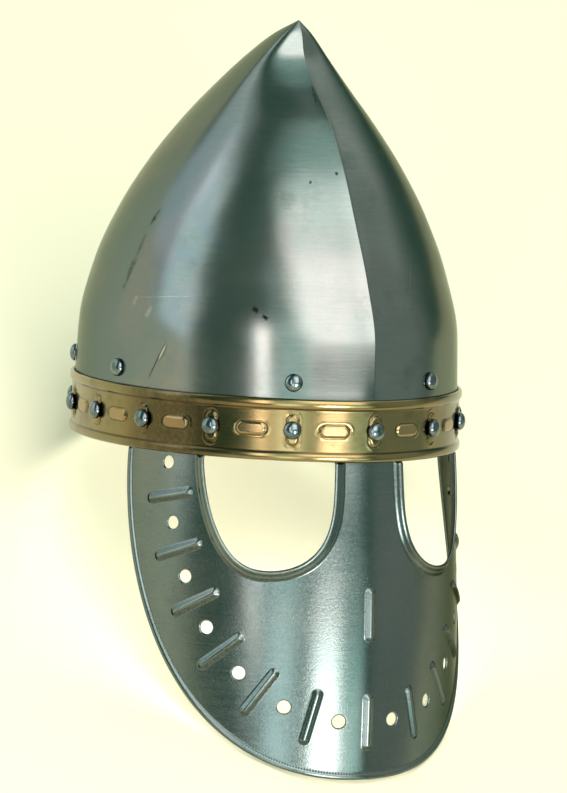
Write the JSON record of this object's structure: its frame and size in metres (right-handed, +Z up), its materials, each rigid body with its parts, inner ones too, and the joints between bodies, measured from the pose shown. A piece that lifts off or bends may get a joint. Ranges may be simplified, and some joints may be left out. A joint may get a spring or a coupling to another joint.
{
  "type": "masked helmet",
  "caption": "Pointed steel helmet with a brass brow band and a pierced steel face plate, leaning back at rest.",
  "frame": {"origin": "on the ground under the middle of the helmet's box, as it rests leaning back on its chin and nape", "axes": "+Z up, -Y the way the face looks, +X to the wearer's left"},
  "size_m": [0.2026, 0.3434, 0.2628],
  "materials": {
    "skull_steel": "satin, finely brushed",
    "band_brass": "polished, lightly aged",
    "mask_steel": "satin, darkened",
    "rivet_steel": "polished domes"
  },
  "bodies": {
    "root": {"skull": "skull_steel", "brow_band": "band_brass", "face_mask": "mask_steel", "band_rivet_01": "rivet_steel", "band_rivet_02": "rivet_steel", "band_rivet_03": "rivet_steel", "band_rivet_04": "rivet_steel", "band_rivet_05": "rivet_steel", "band_rivet_06": "rivet_steel", "band_rivet_07": "rivet_steel", "band_rivet_08": "rivet_steel", "band_rivet_09": "rivet_steel", "band_rivet_10": "rivet_steel", "band_rivet_11": "rivet_steel", "band_rivet_12": "rivet_steel", "band_rivet_13": "rivet_steel", "band_rivet_14": "rivet_steel", "band_rivet_15": "rivet_steel", "band_rivet_16": "rivet_steel", "skull_rivet_01": "rivet_steel", "skull_rivet_02": "rivet_steel", "skull_rivet_03": "rivet_steel", "skull_rivet_04": "rivet_steel", "skull_rivet_05": "rivet_steel", "skull_rivet_06": "rivet_steel", "skull_rivet_07": "rivet_steel"}
  },
  "joints": []
}
